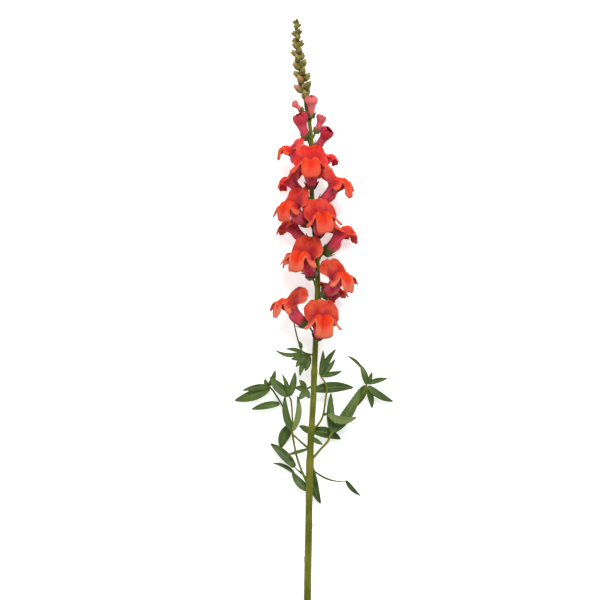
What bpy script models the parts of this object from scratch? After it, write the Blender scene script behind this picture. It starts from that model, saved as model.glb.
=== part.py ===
"""A cut snapdragon stem, lying on a flat surface, at real size.

The stem runs along +Y from its cut end to the tip of the flower spike, and it lies on
the plane z = 0. Sizes are in millimetres, and a finished mesh is scaled to metres once.
Plan places are measured from the cut end: x to the right of it, y along the stem.
"""

import math
import random

import bmesh
import bpy
from mathutils import Matrix, Vector

MM = 0.001

# Overall size: a 60 cm cut stem, whose leaves spread wider on the right.
STEM_LENGTH = 600.0
PLAN_CENTRE = Vector((5.75, STEM_LENGTH / 2, 0.0))

# The stem's axis and radius, from the cut end to the tip: y, x, z, radius.
STEM_ROWS = [
    (0.0, 0.0, 3.25, 3.6),
    (17.0, -0.5, 4.9, 3.6),
    (72.0, 0.4, 9.3, 3.55),
    (124.0, 1.3, 13.3, 3.5),
    (129.0, 1.4, 13.7, 4.0),
    (134.0, 1.5, 14.1, 3.5),
    (155.0, 2.1, 15.8, 3.9),
    (161.0, 2.3, 16.3, 3.4),
    (180.0, 3.0, 17.8, 3.3),
    (186.0, 3.4, 18.3, 3.7),
    (192.0, 3.9, 18.8, 3.1),
    (217.0, 5.4, 20.6, 3.0),
    (240.0, 6.1, 21.9, 3.0),
    (245.0, 6.3, 22.1, 3.4),
    (250.0, 6.5, 22.3, 2.9),
    (307.0, 8.8, 24.0, 2.8),
    (337.0, 9.6, 25.1, 2.7),
    (367.0, 8.2, 26.1, 2.6),
    (397.0, 5.5, 26.8, 2.45),
    (427.0, 3.6, 27.3, 2.3),
    (457.0, 3.6, 27.5, 2.1),
    (475.0, 3.6, 27.5, 2.0),
    (492.0, 1.7, 27.3, 1.9),
    (507.0, -1.4, 26.9, 1.75),
    (519.0, -3.2, 26.5, 1.6),
    (557.0, -9.0, 24.9, 1.1),
    (577.0, -10.6, 23.9, 0.95),
    (600.0, -11.8, 22.9, 0.5),
]
STEM_SIDES = 10
SPIKE_START = 513.0
SEAT_GAP = 0.3

# Petals, leaves and sepals are drawn a little thicker than life, so that they are solids.
PETAL_THICK = 0.7
LEAF_THICK = 0.7
SEPAL_THICK = 0.7
SEPAL_GAP = 0.5

# Cross-sections of the corolla from its base to its margin, on a flower of size 1. Each row:
# share along; distance along the axis, height and half width of the upper side; distance
# and half width at the corners of the mouth; distance, depth and half width of the lower
# side. The lower side folds up into the palate, above the axis, and then turns down.
OPEN_ROWS = [
    (0.00, 0.0, 0.0, 0.0, 0.0, 0.0, 0.0, 0.0, 0.0),
    (0.09, 0.9, 2.9, 3.2, 0.9, 3.4, 0.7, 4.2, 3.4),
    (0.30, 8.6, 4.9, 5.2, 8.6, 5.3, 8.6, 6.3, 5.3),
    (0.50, 16.5, 6.4, 6.4, 16.5, 6.6, 16.5, 6.0, 6.8),
    (0.60, 20.5, 9.0, 8.0, 20.5, 8.2, 20.5, 0.5, 8.0),
    (0.68, 22.6, 13.6, 10.6, 23.0, 10.0, 24.6, -5.8, 8.8),
    (0.76, 24.0, 18.6, 13.2, 25.0, 11.6, 30.0, -6.0, 10.2),
    (0.84, 24.4, 22.8, 14.8, 26.4, 12.6, 34.0, -0.5, 11.4),
    (0.92, 23.4, 25.6, 15.6, 27.0, 13.4, 33.6, 7.0, 13.4),
    (1.00, 20.8, 27.4, 15.8, 27.0, 14.2, 29.5, 14.8, 18.0),
]
CLOSED_ROWS = [
    (0.00, 0.0, 0.0, 0.0, 0.0, 0.0, 0.0, 0.0, 0.0),
    (0.09, 0.9, 2.8, 3.0, 0.9, 3.2, 0.7, 3.8, 3.2),
    (0.30, 8.0, 3.8, 4.0, 8.0, 4.2, 8.0, 4.6, 4.2),
    (0.50, 15.0, 4.8, 5.0, 15.0, 5.2, 15.0, 5.2, 5.2),
    (0.60, 18.4, 6.6, 6.8, 18.0, 6.8, 18.2, 6.4, 6.8),
    (0.70, 21.6, 8.6, 8.6, 21.2, 8.2, 21.4, 7.8, 8.2),
    (0.80, 25.2, 8.6, 8.4, 24.6, 7.8, 24.6, 7.0, 7.6),
    (0.90, 28.0, 6.0, 6.2, 27.2, 5.6, 27.2, 4.6, 5.4),
    (1.00, 29.0, 2.0, 2.2, 28.2, 2.0, 28.2, 1.4, 1.8),
]
TUBE_END = 0.6
COROLLA_RINGS = (0.0, 0.09, 0.34, 0.6, 0.74, 0.87, 1.0)

# The open flowers: y where the stalk leaves the stem, the side it leaves on in degrees (0 is
# up and 90 is right), stalk length, lean of the stalk, lean of the flower, roll, size, how
# open, seed.
BLOOMS = {
    "01": (269.0, 10.0, 9.0, 25.5, 62.0, 0.0, 1.12, 1.0, 11),
    "02": (279.0, -62.0, 13.0, 34.0, 54.0, 0.0, 1.06, 1.0, 12),
    "03": (293.4, 120.1, 8.6, 22.9, 40.1, 6.4, 0.81, 0.9, 13),
    "04": (310.5, 44.0, 8.8, 26.5, 57.0, 0.0, 1.06, 1.0, 14),
    "05": (319.1, -131.3, 11.5, 16.6, 38.9, 7.5, 0.77, 0.9, 15),
    "06": (331.1, -28.3, 9.0, 27.4, 59.6, -1.7, 1.12, 1.0, 16),
    "07": (351.9, 108.5, 8.1, 28.0, 51.8, -3.6, 1.06, 1.0, 17),
    "08": (335.6, -87.1, 7.6, 30.8, 56.0, -15.6, 0.83, 0.9, 18),
    "09": (370.1, 13.8, 9.2, 25.5, 60.5, 1.0, 1.07, 1.0, 19),
    "10": (363.4, -115.3, 10.5, 29.7, 50.6, -11.4, 0.90, 0.95, 20),
    "11": (382.6, -44.7, 9.0, 25.9, 57.5, -1.4, 1.05, 1.0, 21),
    "12": (401.4, 63.9, 8.6, 24.8, 56.6, -6.1, 1.03, 1.0, 22),
    "13": (412.5, -121.6, 8.0, 29.5, 53.6, -6.5, 0.84, 0.95, 23),
    "14": (419.3, 0.5, 9.0, 27.3, 53.7, -0.5, 1.16, 1.0, 24),
    "15": (429.7, 123.5, 6.8, 22.7, 42.0, -3.0, 0.80, 0.9, 25),
    "16": (438.3, -72.1, 9.8, 25.8, 50.7, -2.3, 0.82, 0.95, 26),
}
BUDS = {
    "01": (459.7, 48.8, 6.1, 24.4, 47.6, -0.9, 0.86, 0.12, 31),
    "02": (464.1, -54.8, 8.0, 19.7, 27.4, 3.0, 0.96, 0.1, 32),
    "03": (476.0, 76.0, 5.0, 30.0, 30.0, 0.0, 0.66, 0.1, 33),
    "04": (489.0, 31.8, 6.0, 25.3, 20.2, -0.3, 0.78, 0.0, 34),
    "05": (499.6, -71.1, 4.6, 27.4, 40.3, 3.0, 0.46, 0.0, 35),
}

# A leaf: base x, y, z; tip x, y, z; width; lift of its middle; sideways bow; roll; fold.
# A shoot: name, its stem's rows (x, y, z, radius), and the leaves that grow from it.
SHOOTS = {
    "shoot_left_low": (
        [(1.4, 129, 13.7, 1.3), (-6, 145, 14.6, 1.2), (-11.5, 161, 13.0, 1.1),
         (-14.3, 175, 11.5, 1.1), (-17, 189, 10.0, 1.0), (-20.2, 198.5, 9.0, 1.0),
         (-25.6, 210.6, 8.0, 0.9), (-34.5, 225.2, 7.5, 0.9), (-40, 231, 7.5, 0.8)],
        [(-38, 229.5, 7.6, -74, 216, 0.25, 11.5, 1.5, -1.5, 10, 0.18),
         (-38.5, 230, 8.0, -66, 226, 8.5, 6.5, 3.0, 1.5, -25, 0.2),
         (-39, 231, 7.6, -33, 247, 12, 5.5, 1.0, 1.0, 15, 0.25),
         (-39.5, 231, 7.4, -43, 238, 5, 4.5, 0.5, -1.0, -20, 0.25),
         (-28, 213, 8.0, -57, 207, 3.5, 7.5, 3.0, 1.0, 10, 0.15),
         (-17.5, 191, 9.8, -27, 168, 2.2, 11.5, 1.0, 2.0, -12, 0.15)],
    ),
    "shoot_left_mid": (
        [(2.3, 167, 16.9, 1.2), (-6, 174, 19.0, 1.1), (-13, 180.5, 20.0, 1.0),
         (-15.7, 184, 20.2, 1.0), (-15.4, 193, 20.6, 0.9), (-16.7, 215, 21.0, 0.9),
         (-19.2, 221, 21.0, 0.8)],
        [(-15.5, 185, 20.0, -23, 221, 15.5, 7.5, 1.0, -2.5, -20, 0.2),
         (-15.2, 186, 20.4, -11, 222, 23.5, 6.5, 1.5, 3.5, 20, 0.2),
         (-19, 221, 20.8, -38, 240, 15.0, 10.5, 2.5, -1.0, 8, 0.18),
         (-18.5, 221, 21.2, -13, 245, 20.0, 7.0, 2.0, 1.0, -10, 0.22),
         (-18.8, 220.5, 21.2, -26, 243, 24.0, 5.0, 1.5, 1.0, 25, 0.22),
         (0, 168, 17.5, -21, 162, 16.8, 3.8, 3.2, 0.0, 0, 0.2)],
    ),
    "shoot_middle": (
        [(3.4, 186, 18.4, 1.3), (10.5, 193, 21.5, 1.2), (15, 202, 23.6, 1.1),
         (17.5, 218, 25.0, 1.0), (18.8, 228, 25.6, 1.0), (17.5, 233.5, 25.8, 0.9),
         (11.8, 242.5, 27.6, 0.8)],
        [(14.2, 202, 24.0, 20, 204, 25.0, 3.0, 0.5, 0.0, 0, 0.1),
         (20, 204, 24.4, 49, 200, 15.5, 8.0, 7.4, 5.0, 12, 0.2),
         (12, 242, 27.4, 28, 268, 25.0, 6.5, 2.0, -1.5, 15, 0.2),
         (12, 242, 27.2, 27, 258, 21.5, 6.0, 1.5, 1.5, -15, 0.2),
         (12, 242, 27.4, 34, 246, 22.0, 5.5, 2.5, 1.0, 10, 0.2),
         (12, 241.8, 27.6, 15, 267, 30.0, 5.5, 2.0, 1.0, -20, 0.2)],
    ),
    "shoot_right": (
        [(2.1, 155, 15.8, 1.4), (12, 167, 17.0, 1.3), (19.4, 175, 17.2, 1.2),
         (25, 185.4, 17.0, 1.2), (37, 197, 15.5, 1.1), (52, 217, 12.5, 1.0), (59, 232, 11.0, 0.9)],
        [(25, 185, 17.6, 52, 229, 16.5, 11.5, 1.8, 3.0, -14, 0.18),
         (24, 184, 17.4, 23, 224, 13.0, 8.5, 1.5, -1.0, 24, 0.18),
         (59, 231, 11.0, 48, 209, 2.5, 10.0, 1.5, 1.5, -12, 0.18),
         (59, 232, 11.2, 52, 253, 9.0, 6.5, 2.0, 1.0, 12, 0.2),
         (53.5, 249, 9.6, 39, 261, 9.0, 3.4, 1.5, 1.5, 0, 0.2),
         (60, 233, 11.0, 80, 238, 5.5, 5.5, 2.0, -1.0, 8, 0.2),
         (60, 231, 10.8, 86, 215, 0.2, 7.5, 3.0, 2.0, -8, 0.2),
         (60, 230, 10.6, 64.5, 208, 0.7, 6.5, 1.0, -1.0, 20, 0.2),
         (60, 233, 11.0, 64, 245, 12.5, 4.5, 0.5, 0.5, 0, 0.2)],
    ),
    "shoot_upper_left": (
        [(7.0, 262, 24.0, 1.2), (0, 263, 23.5, 1.0), (-6, 266, 21.0, 0.9),
         (-9.5, 275, 17.0, 0.8), (-13, 289, 13.5, 0.7), (-15, 301, 11.5, 0.6), (-16, 312, 10.0, 0.5)],
        [(-5, 265, 21.5, -33, 267, 16.0, 4.5, 4.0, -4.0, 0, 0.2),
         (-5, 264.5, 21.0, -22, 268, 13.0, 4.0, 2.0, 1.0, 10, 0.2),
         (-7, 268, 20.0, -9, 276, 22.0, 4.0, 0.5, 0.5, 0, 0.2),
         (0, 263, 23.8, -12, 250, 26.5, 6.5, 1.5, 1.0, 10, 0.22),
         (0.5, 262.6, 23.8, -3, 246, 29.0, 6.5, 2.0, -1.0, -12, 0.22),
         (0, 263, 24.0, -17, 258, 22.5, 6.0, 1.5, -1.0, 10, 0.22),
         (0.5, 262, 24.0, -8, 241, 25.5, 6.5, 1.0, 1.5, 20, 0.22),
         (-15, 301, 11.5, -19, 309, 12.0, 3.2, 0.5, 0.5, 0, 0.2)],
    ),
    "tuft_middle": (
        [(6.0, 231, 21.9, 1.4), (0, 229, 24.5, 1.1), (-5, 226, 25.8, 0.9)],
        [(-3, 227, 25.4, -10, 218, 29.0, 6.5, 1.5, -1.0, 10, 0.22),
         (-3, 227, 25.4, -13, 229, 26.5, 6.0, 1.5, 1.0, 0, 0.22),
         (-2, 228, 25.2, 2, 219, 28.6, 6.5, 1.0, 1.0, -10, 0.22),
         (-3, 228, 25.4, -9, 237, 28.0, 6.0, 1.0, 1.0, 15, 0.22)],
    ),
}
LEAVES = {
    "leaf_wide_right": [(6.0, 227, 21.0, 46, 229, 14.0, 11.0, 1.0, -2.0, 6, 0.14)],
    "leaf_behind_right": [(3.4, 186, 16.0, 33, 177, 6.0, 11.0, -0.5, -2.5, 8, 0.15)],
    "leaf_behind_left": [(3.2, 184, 16.0, -9, 191, 12.0, 6.5, -0.5, 0.5, 0, 0.15)],
    "leaf_pale_small": [(3.0, 180, 16.2, 15, 172, 12.0, 5.0, 0.0, 0.5, -8, 0.2)],
    "leaf_lower_right": [(3.0, 152, 15.6, 13.0, 112, 0.9, 10.5, 2.5, 2.5, 12, 0.18)],
    "leaf_stalked_right": [
        (3.0, 149, 12.0, 40, 135, 6.5, 2.0, -1.5, 5.0, 0, 0.1),
        (38, 136, 7.0, 53, 120, 1.0, 5.0, 0.5, 1.0, 30, 0.2)],
    "leaf_lower_left": [
        (0.8, 137, 12.5, -14.5, 150, 10.5, 2.0, -0.5, 0.0, 0, 0.1),
        (-13, 149, 10.8, -38, 173, 4.0, 9.5, 1.5, 1.5, 8, 0.2)],
    "leaf_twisted": [
        (1.2, 126, 12.0, -16, 145, 7.0, 8.5, -1.0, -2.0, 14, 0.2),
        (-13, 142, 7.8, -36, 153, 1.2, 4.5, 0.5, 2.5, 40, 0.2)],
}

STALK_GREEN = (0.235, 0.32, 0.06)
LEAF_GREEN = (0.09, 0.17, 0.05)
CALYX_GREEN = (0.16, 0.24, 0.05)
SPIKE_GREEN = (0.2, 0.2, 0.04)
PETAL_ORANGE = (0.83, 0.09, 0.03)
PETAL_PINK = (0.6, 0.05, 0.1)


def clear_scene():
    for obj in list(bpy.data.objects):
        bpy.data.objects.remove(obj, do_unlink=True)


def collection(name, hidden=False):
    made = bpy.data.collections.new(name)
    bpy.context.scene.collection.children.link(made)
    made.hide_render = hidden
    return made


def material(name, colour, roughness):
    made = bpy.data.materials.new(name)
    made.use_nodes = True
    shader = made.node_tree.nodes["Principled BSDF"]
    shader.inputs["Base Color"].default_value = (*colour, 1.0)
    shader.inputs["Roughness"].default_value = roughness
    shader.inputs["Metallic"].default_value = 0.0
    made.diffuse_color = (*colour, 1.0)
    return made


def smoothstep(low, high, value):
    share = min(max((value - low) / (high - low), 0.0), 1.0)
    return share * share * (3.0 - 2.0 * share)


def along_rows(rows, at):
    """The row at this place, eased between its neighbours (Catmull-Rom on uneven steps)."""
    last = len(rows) - 1
    i = 0
    while i < last - 1 and rows[i + 1][0] < at:
        i += 1
    span = rows[i + 1][0] - rows[i][0]
    t = (at - rows[i][0]) / span
    values = []
    for column in range(1, len(rows[0])):
        before, after = rows[i][column], rows[i + 1][column]
        slope = (after - before) / span
        left = slope
        right = slope
        if i > 0:
            left = (after - rows[i - 1][column]) / (rows[i + 1][0] - rows[i - 1][0])
        if i < last - 1:
            right = (rows[i + 2][column] - before) / (rows[i + 2][0] - rows[i][0])
        values.append(
            (2 * t**3 - 3 * t**2 + 1) * before
            + (t**3 - 2 * t**2 + t) * left * span
            + (3 * t**2 - 2 * t**3) * after
            + (t**3 - t**2) * right * span
        )
    return values


def stem_at(y):
    """The stem's centre, direction and radius at this height."""
    x, z, radius = along_rows(STEM_ROWS, y)
    ahead_x, ahead_z, _ = along_rows(STEM_ROWS, min(y + 1.0, 600.0))
    behind_x, behind_z, _ = along_rows(STEM_ROWS, max(y - 1.0, 0.0))
    step = min(y + 1.0, 600.0) - max(y - 1.0, 0.0)
    direction = Vector((ahead_x - behind_x, step, ahead_z - behind_z)).normalized()
    return Vector((x, y, z)), direction, radius


def object_of(name, mesh, where):
    obj = bpy.data.objects.new(name, mesh)
    where.objects.link(obj)
    return obj


def applied(obj):
    """The object with its modifiers made part of its mesh."""
    graph = bpy.context.evaluated_depsgraph_get()
    mesh = bpy.data.meshes.new_from_object(obj.evaluated_get(graph))
    old = obj.data
    obj.modifiers.clear()
    obj.data = mesh
    if isinstance(old, bpy.types.Mesh):
        bpy.data.meshes.remove(old)
    return obj


def sweep(name, rows, sides, where):
    """A round stalk through these points, which are (x, y, z, radius)."""
    curve = bpy.data.curves.new(name + "_path", "CURVE")
    curve.dimensions = "3D"
    curve.bevel_depth = 1.0
    curve.bevel_resolution = max((sides - 4) // 2, 0)
    curve.use_fill_caps = True
    spline = curve.splines.new("POLY")
    spline.points.add(len(rows) - 1)
    for point, row in zip(spline.points, rows):
        point.co = (*row[:3], 1.0)
        point.radius = row[3]
    source = object_of(name + "_path", curve, where)
    graph = bpy.context.evaluated_depsgraph_get()
    mesh = bpy.data.meshes.new_from_object(source.evaluated_get(graph))
    mesh.name = name
    bpy.data.objects.remove(source, do_unlink=True)
    bpy.data.curves.remove(curve)
    work = bmesh.new()
    work.from_mesh(mesh)
    bmesh.ops.remove_doubles(work, verts=work.verts, dist=1e-4)
    bmesh.ops.recalc_face_normals(work, faces=work.faces)
    bmesh.ops.triangulate(work, faces=work.faces)
    work.to_mesh(mesh)
    work.free()
    return object_of(name, mesh, where)


def combine(target, others, operation):
    """Joins the others to the target, or cuts them from it, and removes them."""
    tools = collection(target.name + "_tools", hidden=True)
    for other in others:
        for old in list(other.users_collection):
            old.objects.unlink(other)
        tools.objects.link(other)
        other.display_type = "WIRE"
    join = target.modifiers.new("combine", "BOOLEAN")
    join.operation = operation
    join.operand_type = "COLLECTION"
    join.collection = tools
    join.solver = "MANIFOLD"
    bpy.context.view_layer.update()
    applied(target)
    for other in others:
        bpy.data.objects.remove(other, do_unlink=True)
    bpy.data.collections.remove(tools)
    return target


def sheet(name, columns, rows, place, thickness, offset, wrapped, where):
    """A thin solid: a grid whose every point goes where place(u, v) says, then thickened."""
    work = bmesh.new()
    bmesh.ops.create_grid(work, x_segments=columns, y_segments=rows, size=0.5)
    for vert in work.verts:
        vert.co = place(vert.co.x + 0.5, vert.co.y + 0.5)
    if wrapped:
        bmesh.ops.remove_doubles(work, verts=work.verts, dist=1e-4)
    bmesh.ops.triangulate(work, faces=work.faces)
    mesh = bpy.data.meshes.new(name)
    work.to_mesh(mesh)
    work.free()
    obj = object_of(name, mesh, where)
    wall = obj.modifiers.new("thickness", "SOLIDIFY")
    wall.thickness = thickness
    wall.offset = offset
    return applied(obj)


def leaf(name, spec, where, segments):
    """A pointed blade from its base to its tip, folded along its midrib."""
    base, tip = Vector(spec[:3]), Vector(spec[3:6])
    width, lift, bow, roll, fold = spec[6:]
    run = (tip - base).normalized()
    aside = run.cross(Vector((0, 0, 1))).normalized()
    middle = (base + tip) / 2 + Vector((0, 0, 2 * lift)) + aside * 2 * bow

    def place(u, v):
        centre = base * (1 - u) ** 2 + middle * 2 * u * (1 - u) + tip * u**2
        ahead = ((middle - base) * (1 - u) + (tip - middle) * u).normalized()
        side = ahead.cross(Vector((0, 0, 1))).normalized()
        side = Matrix.Rotation(math.radians(roll) * (0.3 + 0.7 * u), 3, ahead) @ side
        normal = side.cross(ahead)
        across = 2 * v - 1
        full = math.sin(math.pi * min(u * 0.92 + 0.06, 1.0) ** 0.85) ** 0.8
        half = max(width / 2 * full, min(width / 2, 0.75 if u < 0.5 else 0.35))
        return centre + side * across * half + normal * fold * abs(across) * half

    return sheet(name, segments, 2, place, LEAF_THICK, 0.0, False, where)


def leafy(name, rows, leaves, where):
    """A shoot with its leaves, or the leaves alone, seated against the main stem."""
    pieces = []
    for i, spec in enumerate(leaves):
        segments = 5 if spec[6] > 7 else 4 if spec[6] > 4.6 else 3
        pieces.append(leaf(f"{name}_blade_{i}", spec, where, segments))
    if rows:
        pieces.insert(0, sweep(name + "_stalk", rows, 6, where))
    made = pieces[0]
    if len(pieces) > 1:
        combine(made, pieces[1:], "UNION")
    made.name = name
    return made


def corolla_point(angle, along, openness, seed, size):
    """Where the back of the corolla lies, at this angle round it and share along it."""
    up = smoothstep(0.0, 0.45, math.sin(angle))
    down = smoothstep(0.1, 0.6, -math.sin(angle))
    beside = 1.0 - up - down
    lobe = 0.20 * math.exp(-(((1.0 - math.sin(angle)) / 0.06) ** 2))
    from_low = abs(math.degrees(math.atan2(math.cos(angle), -math.sin(angle))))
    lobe += 0.26 * math.exp(-(((from_low - 42.0) / 9.0) ** 2))
    share = along
    if along > TUBE_END:
        share = TUBE_END + (along - TUBE_END) * (1.0 - lobe)
    wide = along_rows(OPEN_ROWS, share)
    shut = along_rows(CLOSED_ROWS, share)
    row = [a * openness + b * (1.0 - openness) for a, b in zip(wide, shut)]
    ruffle = smoothstep(0.72, 1.0, along) * openness
    phase = seed * 1.7
    x = row[0] * up + row[3] * beside + row[5] * down
    width = row[2] * up + row[4] * beside + row[7] * down
    height = row[1] * up + row[4] * 0.85 * beside + row[6] * down
    x += ruffle * (1.1 * math.sin(5 * angle + phase) + 0.5 * math.sin(9 * angle + 2 * phase))
    dome = math.exp(-(((along - 0.78) / 0.09) ** 2)) * openness
    x += dome * 1.6 * math.exp(-(((from_low - 22.0) / 13.0) ** 2))
    from_high = 180.0 - from_low
    lip = up * openness * smoothstep(0.62, 0.85, along)
    x += lip * 1.8 * math.exp(-(((from_high - 32.0) / 16.0) ** 2))
    x -= lip * 1.3 * math.exp(-((from_high / 9.0) ** 2))
    swell = 1.0 + 0.05 * ruffle * math.sin(3 * angle + phase)
    opening = openness * smoothstep(TUBE_END, 0.85, along)
    flat = 1.0 - (0.2 * up + 0.25 * down) * opening
    side = math.copysign(abs(math.cos(angle)) ** flat, math.cos(angle))
    rise = math.copysign(abs(math.sin(angle)) ** (1.0 - 0.2 * up * opening), math.sin(angle))
    return Vector((x, width * swell * side, height * swell * rise)) * size


def flower_frame(spec):
    """The stalk's rows, and the matrix that puts a flower at the stalk's end."""
    y, side, stalk, stalk_lean, lean, roll = spec[:6]
    centre, ahead, radius = stem_at(y)
    turn = math.radians(side)
    out = Vector((math.sin(turn), 0, math.cos(turn)))
    out = (out - ahead * out.dot(ahead)).normalized()
    first = ahead * math.cos(math.radians(stalk_lean)) + out * math.sin(math.radians(stalk_lean))
    axis = ahead * math.cos(math.radians(lean)) + out * math.sin(math.radians(lean))
    clear = radius / math.sin(math.radians(stalk_lean))
    bend = centre + first * (clear + stalk * 0.5)
    end = bend + axis * stalk * 0.5
    up = (ahead - axis * ahead.dot(axis)).normalized()
    up = Matrix.Rotation(math.radians(roll), 3, axis) @ up
    across = up.cross(axis)
    place = Matrix((axis, across, up)).transposed().to_4x4()
    place.translation = end
    return centre, bend, end, axis, place


def flower(number, kind, spec, petals_in, greens_in):
    """A corolla, and the calyx with its stalk, which holds it without touching it."""
    size, openness, seed = spec[6:]
    centre, bend, end, axis, place = flower_frame(spec)
    columns = 14 if kind == "bloom" and size > 0.85 else 12
    last = len(COROLLA_RINGS) - 1

    def back_of(u, v):
        angle = math.radians(360 * u - 90)
        return place @ corolla_point(angle, COROLLA_RINGS[round(v * last)], openness, seed, size)

    corolla = sheet(
        f"corolla_{kind}_{number}", columns, last, back_of, PETAL_THICK, -1.0, True, petals_in
    )

    def sepals(u, v):
        angle = math.radians(360 * u - 90)
        reach = 0.17 + 0.12 * max(math.cos(5 * (angle + math.pi / 2)), -0.4)
        base_ring = COROLLA_RINGS[1]
        share = 2 * v * base_ring if v < 0.51 else base_ring + (2 * v - 1) * (reach - base_ring)
        point = corolla_point(angle, share, openness, seed, size)
        outward = Vector((-1.0, 0.0, 0.0))
        if v > 0.01:
            outward = Vector((0.0, point.y, point.z)).normalized()
            outward = (outward + Vector((-0.8 * (1 - v), 0, 0))).normalized()
        return place @ (point + outward * (SEPAL_GAP + 0.35 * v))

    calyx = sheet(f"calyx_{kind}_{number}", 10, 2, sepals, SEPAL_THICK, 1.0, True, greens_in)
    stop = end - axis * (SEPAL_GAP + 0.25)
    rows = [(*centre, 1.0), (*bend, 0.95), (*stop, 1.3 * size**0.5)]
    stalk = sweep(f"stalk_{number}", rows, 6, greens_in)
    combine(calyx, [stalk], "UNION")
    return corolla, calyx


def stem_between(name, low, high, extra, where, sides=STEM_SIDES):
    ys = [row[0] for row in STEM_ROWS if low < row[0] < high]
    ys = [low] + [y for y in ys if y - low > 2.0 and high - y > 2.0] + [high]
    rows = []
    for y in ys:
        centre, _, radius = stem_at(y)
        rows.append((*centre, radius + extra))
    return sweep(name, rows, sides, where)


def main_stem(where):
    """The stem up to the bud spike, with the scars of two leaves that fell."""
    made = stem_between("main_stem", 0.0, SPIKE_START, 0.0, where)
    scars = []
    for x, y, z in ((4.6, 91.0, 11.0), (-4.2, 57.0, 8.4)):
        mesh = bpy.data.meshes.new("scar")
        work = bmesh.new()
        bmesh.ops.create_icosphere(work, subdivisions=1, radius=1.7)
        bmesh.ops.transform(work, matrix=Matrix.Translation((x, y, z)), verts=work.verts)
        work.to_mesh(mesh)
        work.free()
        scars.append(object_of("scar", mesh, where))
    return combine(made, scars, "UNION")


def small_bud(name, base, axis, length, radius, where):
    """A closed bud: an egg with a blunt tip."""
    across = axis.cross(Vector((0.3, 0.2, 1.0))).normalized()
    up = across.cross(axis)

    def place(u, v):
        angle = 2 * math.pi * u
        around = across * math.cos(angle) + up * math.sin(angle)
        full = math.sin(math.pi * v) ** 0.6 * (1.05 - 0.5 * v)
        return base + axis * length * v + around * radius * full

    work = bmesh.new()
    bmesh.ops.create_grid(work, x_segments=6, y_segments=3, size=0.5)
    for vert in work.verts:
        vert.co = place(vert.co.x + 0.5, vert.co.y + 0.5)
    bmesh.ops.remove_doubles(work, verts=work.verts, dist=1e-4)
    bmesh.ops.recalc_face_normals(work, faces=work.faces)
    bmesh.ops.triangulate(work, faces=work.faces)
    mesh = bpy.data.meshes.new(name)
    work.to_mesh(mesh)
    work.free()
    return object_of(name, mesh, where)


def bud_spike(where):
    """The unopened top: the end of the stem, with buds and bracts that shrink to the tip."""
    chance = random.Random(5)
    start = SPIKE_START + SEAT_GAP
    made = stem_between("bud_spike", start, STEM_LENGTH - 2.0, 0.0, where, sides=8)
    pieces = []
    count = 30
    for i in range(count):
        share = i / (count - 1)
        y = start + 3.5 + (STEM_LENGTH - start - 9.0) * share**0.92
        centre, ahead, radius = stem_at(y)
        turn = math.radians(137.5 * i + chance.uniform(-12, 12))
        out = Vector((math.sin(turn), 0, math.cos(turn)))
        lean = math.radians(50 - 24 * share)
        axis = (ahead * math.cos(lean) + out * math.sin(lean)).normalized()
        length = 8.6 * (1 - share) ** 0.55 + 4.2
        width = 2.7 * (1 - share) ** 0.55 + 1.2
        base = centre + axis * radius * 0.5
        pieces.append(small_bud(f"bud_{i}", base, axis, length, width, where))
        if i % 3 == 0:
            tip = base + (ahead * 0.55 + out * 0.85) * (length * 0.8 + 1.5)
            spec = (*(base - ahead * 0.6), *tip, 2.2 + 1.6 * (1 - share), 0.0, 0.4, 0.0, 0.3)
            pieces.append(leaf(f"bract_{i}", spec, where, 3))
    return combine(made, pieces, "UNION")


def flatten_and_scale(obj, table):
    """Flattens what would pass below the surface, and puts the piece at its place in metres."""
    lowest = min(vert.co.z for vert in obj.data.vertices)
    if lowest < 0.0:
        cutter = object_of("table_cutter", table, bpy.context.scene.collection)
        combine(obj, [cutter], "DIFFERENCE")
    for vert in obj.data.vertices:
        vert.co = (vert.co - PLAN_CENTRE) * MM


def table_mesh():
    mesh = bpy.data.meshes.new("table")
    work = bmesh.new()
    bmesh.ops.create_cube(work, size=1.0)
    matrix = Matrix.Translation((0, 300, -20)) @ Matrix.Diagonal((400, 900, 40, 1))
    bmesh.ops.transform(work, matrix=matrix, verts=work.verts)
    work.to_mesh(mesh)
    work.free()
    return mesh


def finish(obj, shade, surface, table, seat=True):
    """Seats the piece on the stem, flattens it on the surface, and gives it its material."""
    if seat:
        cutter = stem_between("seat_cutter", -4.0, SPIKE_START + 0.2, SEAT_GAP, surface)
        combine(obj, [cutter], "DIFFERENCE")
    flatten_and_scale(obj, table)
    obj.data.materials.clear()
    obj.data.materials.append(shade)
    for face in obj.data.polygons:
        face.use_smooth = True
    return obj


def main():
    clear_scene()
    snapdragon = collection("snapdragon_stem")
    stalk_green = material("stalk_green", STALK_GREEN, 0.5)
    leaf_green = material("leaf_green", LEAF_GREEN, 0.55)
    calyx_green = material("calyx_green", CALYX_GREEN, 0.5)
    spike_green = material("spike_green", SPIKE_GREEN, 0.55)
    orange = material("petal_orange", PETAL_ORANGE, 0.5)
    pink = material("petal_pink", PETAL_PINK, 0.5)
    table = table_mesh()
    table.use_fake_user = True

    finish(main_stem(snapdragon), stalk_green, snapdragon, table, seat=False)
    finish(bud_spike(snapdragon), spike_green, snapdragon, table, seat=False)
    for name, (rows, leaves) in SHOOTS.items():
        finish(leafy(name, rows, leaves, snapdragon), leaf_green, snapdragon, table)
    for name, leaves in LEAVES.items():
        finish(leafy(name, None, leaves, snapdragon), leaf_green, snapdragon, table)
    for kind, flowers, shade in (("bloom", BLOOMS, orange), ("bud", BUDS, pink)):
        for number, spec in flowers.items():
            corolla, calyx = flower(number, kind, spec, snapdragon, snapdragon)
            finish(corolla, shade, snapdragon, table, seat=False)
            finish(calyx, calyx_green, snapdragon, table)
    bpy.data.meshes.remove(table)


main()
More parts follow.
